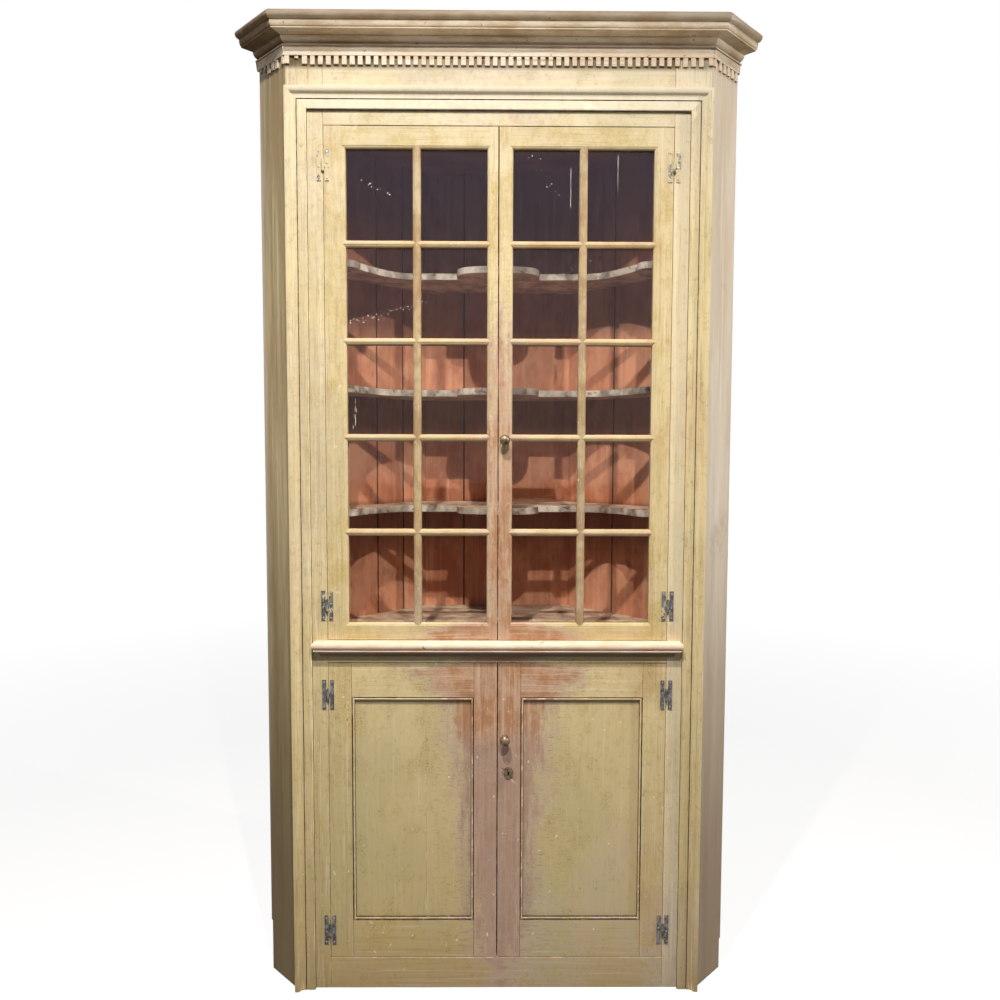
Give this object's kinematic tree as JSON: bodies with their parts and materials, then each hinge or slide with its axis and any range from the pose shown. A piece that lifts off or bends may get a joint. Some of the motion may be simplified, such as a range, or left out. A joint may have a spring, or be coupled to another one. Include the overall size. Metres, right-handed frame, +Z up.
{
  "type": "corner cupboard",
  "caption": "Tall painted corner cupboard with a dentil cornice, glazed double doors over shaped shelves and panelled double doors below.",
  "frame": {"origin": "on the floor, under the middle of the whole cupboard: midway between the cornice ends and midway between the cornice front and the outside of the back", "axes": "+Z up, +X to the right along the front, +Y into the corner of the room; the doors face -Y and the walls of the room run at 45 degrees to X and Y"},
  "size_m": [1.2284, 0.502, 2.286],
  "materials": {
    "face_paint": "old mustard and cream milk paint over salmon, worn and finely crackled, on pine",
    "side_paint": "thin grey-olive paint, streaked and worn, on pine",
    "cornice_paint": "tan worn paint on pine",
    "dentil_paint": "chalky cream paint",
    "interior_paint": "dull salmon paint on wide boards",
    "shelf_wood": "worn grey-white wood",
    "iron": "wrought iron, dark, partly painted over",
    "brass": "tarnished brass",
    "glass": "old wavy window glass"
  },
  "bodies": {
    "case": {"left_face_stile": "face_paint", "right_face_stile": "face_paint", "base_rail": "face_paint", "waist_rail": "face_paint", "frieze_rail": "face_paint", "architrave": "face_paint", "waist_moulding": "face_paint", "left_return_board": "side_paint", "right_return_board": "side_paint", "left_wall_board_1": "interior_paint", "left_wall_board_2": "interior_paint", "left_wall_board_3": "interior_paint", "right_wall_board_1": "interior_paint", "right_wall_board_2": "interior_paint", "back_board_1": "interior_paint", "back_board_2": "interior_paint", "top_board": "interior_paint", "bottom_board": "shelf_wood", "lower_shelf": "shelf_wood", "waist_deck": "shelf_wood", "upper_shelf_1": "shelf_wood", "upper_shelf_2": "shelf_wood", "upper_shelf_3": "shelf_wood", "cornice": "cornice_paint", "dentil_course": "dentil_paint", "left_upper_bottom_hinge_frame_leaf": "iron", "left_upper_top_hinge_frame_leaf": "iron", "right_upper_bottom_hinge_frame_leaf": "iron", "right_upper_top_hinge_frame_leaf": "iron", "left_lower_bottom_hinge_frame_leaf": "iron", "left_lower_top_hinge_frame_leaf": "iron", "right_lower_bottom_hinge_frame_leaf": "iron", "right_lower_top_hinge_frame_leaf": "iron"},
    "left_upper_door": {"left_glazed_door_sash": "face_paint", "left_glazed_door_glass": "glass", "left_upper_bottom_hinge_door_leaf": "iron", "left_upper_top_hinge_door_leaf": "iron"},
    "right_upper_door": {"right_glazed_door_sash": "face_paint", "right_glazed_door_glass": "glass", "right_upper_bottom_hinge_door_leaf": "iron", "right_upper_top_hinge_door_leaf": "iron"},
    "left_lower_door": {"left_panel_door_hinge_stile": "face_paint", "left_panel_door_meeting_stile": "face_paint", "left_panel_door_top_rail": "face_paint", "left_panel_door_bottom_rail": "face_paint", "left_panel_door_panel": "face_paint", "left_lower_bottom_hinge_door_leaf": "iron", "left_lower_top_hinge_door_leaf": "iron"},
    "right_lower_door": {"right_panel_door_hinge_stile": "face_paint", "right_panel_door_meeting_stile": "face_paint", "right_panel_door_top_rail": "face_paint", "right_panel_door_bottom_rail": "face_paint", "right_panel_door_panel": "face_paint", "right_lower_bottom_hinge_door_leaf": "iron", "right_lower_top_hinge_door_leaf": "iron", "keyhole_escutcheon": "brass", "lock_case": "iron"},
    "upper_latch": {"upper_latch_knob": "brass"},
    "lower_latch": {"lower_latch_knob": "brass"},
    "lock_bolt_body": {"lock_bolt": "iron"}
  },
  "joints": [
    {"name": "left_upper_door_swing", "type": "hinge", "parent": "case", "child": "left_upper_door", "pos_m": [-0.4045, -0.1926, 1.456], "axis": [0, 0, -1], "range_deg": [0, 130]},
    {"name": "right_upper_door_swing", "type": "hinge", "parent": "case", "child": "right_upper_door", "pos_m": [0.4045, -0.1926, 1.456], "axis": [0, 0, 1], "range_deg": [0, 130]},
    {"name": "left_lower_door_swing", "type": "hinge", "parent": "case", "child": "left_lower_door", "pos_m": [-0.4045, -0.1926, 0.439], "axis": [0, 0, -1], "range_deg": [0, 130]},
    {"name": "right_lower_door_swing", "type": "hinge", "parent": "case", "child": "right_lower_door", "pos_m": [0.4045, -0.1926, 0.439], "axis": [0, 0, 1], "range_deg": [0, 130]},
    {"name": "upper_latch_turn", "type": "hinge", "parent": "right_upper_door", "child": "upper_latch", "pos_m": [0.01575, -0.189, 1.338], "axis": [0, 1, 0], "range_deg": [0, 90]},
    {"name": "lower_latch_turn", "type": "hinge", "parent": "right_lower_door", "child": "lower_latch", "pos_m": [0.01825, -0.189, 0.623], "axis": [0, 1, 0], "range_deg": [0, 90]},
    {"name": "lock_bolt_throw", "type": "slide", "parent": "right_lower_door", "child": "lock_bolt_body", "axis": [-1, 0, 0], "range_m": [0, 0.013]}
  ]
}
